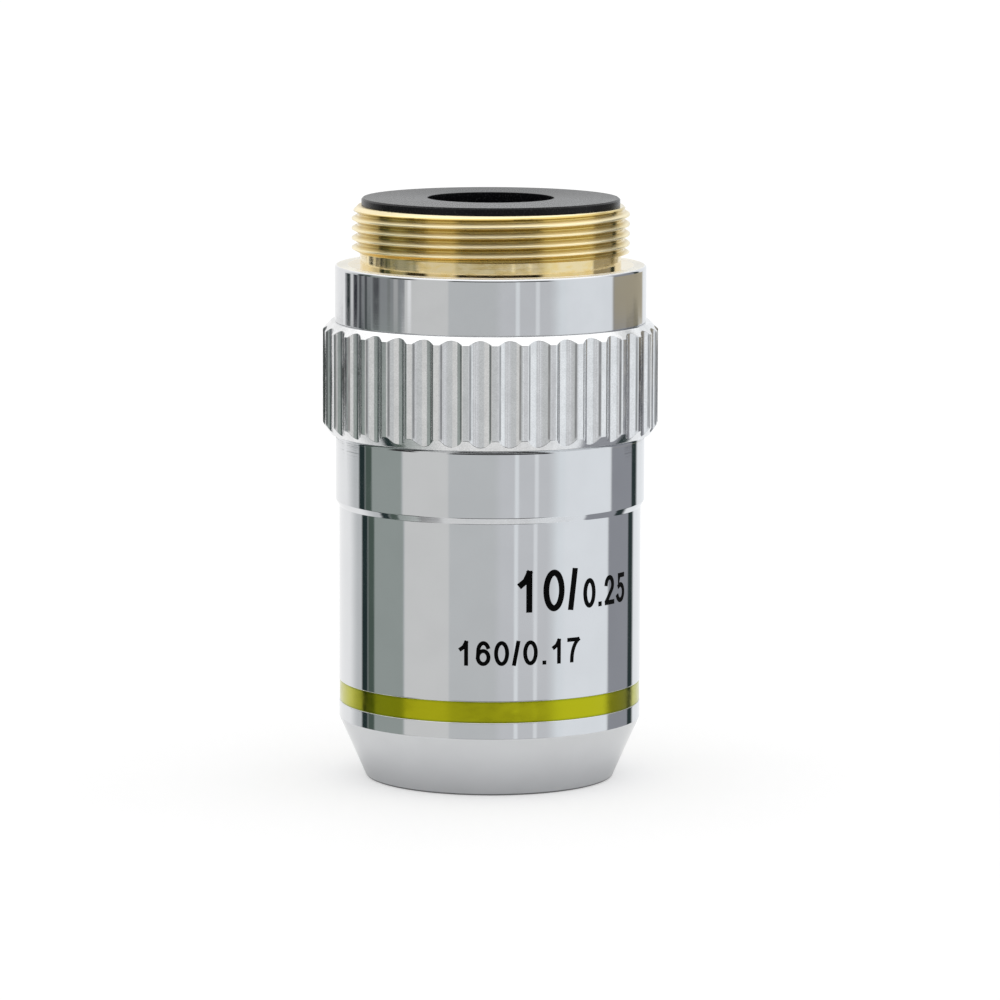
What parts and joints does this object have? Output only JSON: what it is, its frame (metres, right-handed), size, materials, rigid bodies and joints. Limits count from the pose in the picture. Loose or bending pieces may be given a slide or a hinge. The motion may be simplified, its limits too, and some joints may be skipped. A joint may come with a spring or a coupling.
{
  "type": "microscope objective",
  "caption": "Low-power microscope objective: threaded brass mount, fluted grip ring, chrome sleeve with a colour band, and a full lens train inside.",
  "frame": {"origin": "centre of the nose's flat front face, on the optical axis", "axes": "+Z along the optical axis from the nose to the mounting thread; -Y faces the viewer at the picture's angle"},
  "size_m": [0.0244, 0.0244, 0.0424],
  "materials": {
    "brass": "bright turned brass on thread and shoulder, chrome plated on the collar's side",
    "bright_chrome": "polished chrome plating on brass",
    "satin_chrome": "satin chrome with fine milling marks in the flutes",
    "black_plating": "satin black plating",
    "blackened_brass": "matte blackened brass against stray light",
    "olive_enamel": "olive-yellow gloss enamel",
    "coated_glass": "polished optical glass with a thin anti-reflection coating"
  },
  "bodies": {
    "root": {"mount_body": "brass", "stop_ring": "black_plating", "grip_ring": "satin_chrome", "outer_sleeve": "bright_chrome", "colour_band": "olive_enamel", "lens_barrel": "blackened_brass", "parfocal_shim": "brass", "barrel_lock_ring": "blackened_brass", "front_cell": "black_plating", "front_lens": "coated_glass", "front_lens_ring": "blackened_brass", "first_cell": "blackened_brass", "first_flint": "coated_glass", "first_crown": "coated_glass", "first_spacer": "blackened_brass", "second_cell": "blackened_brass", "second_flint": "coated_glass", "second_crown": "coated_glass", "second_spacer": "blackened_brass", "rear_cell": "blackened_brass", "rear_lens": "coated_glass", "aperture_stop": "blackened_brass", "stack_ring": "blackened_brass"}
  },
  "joints": []
}
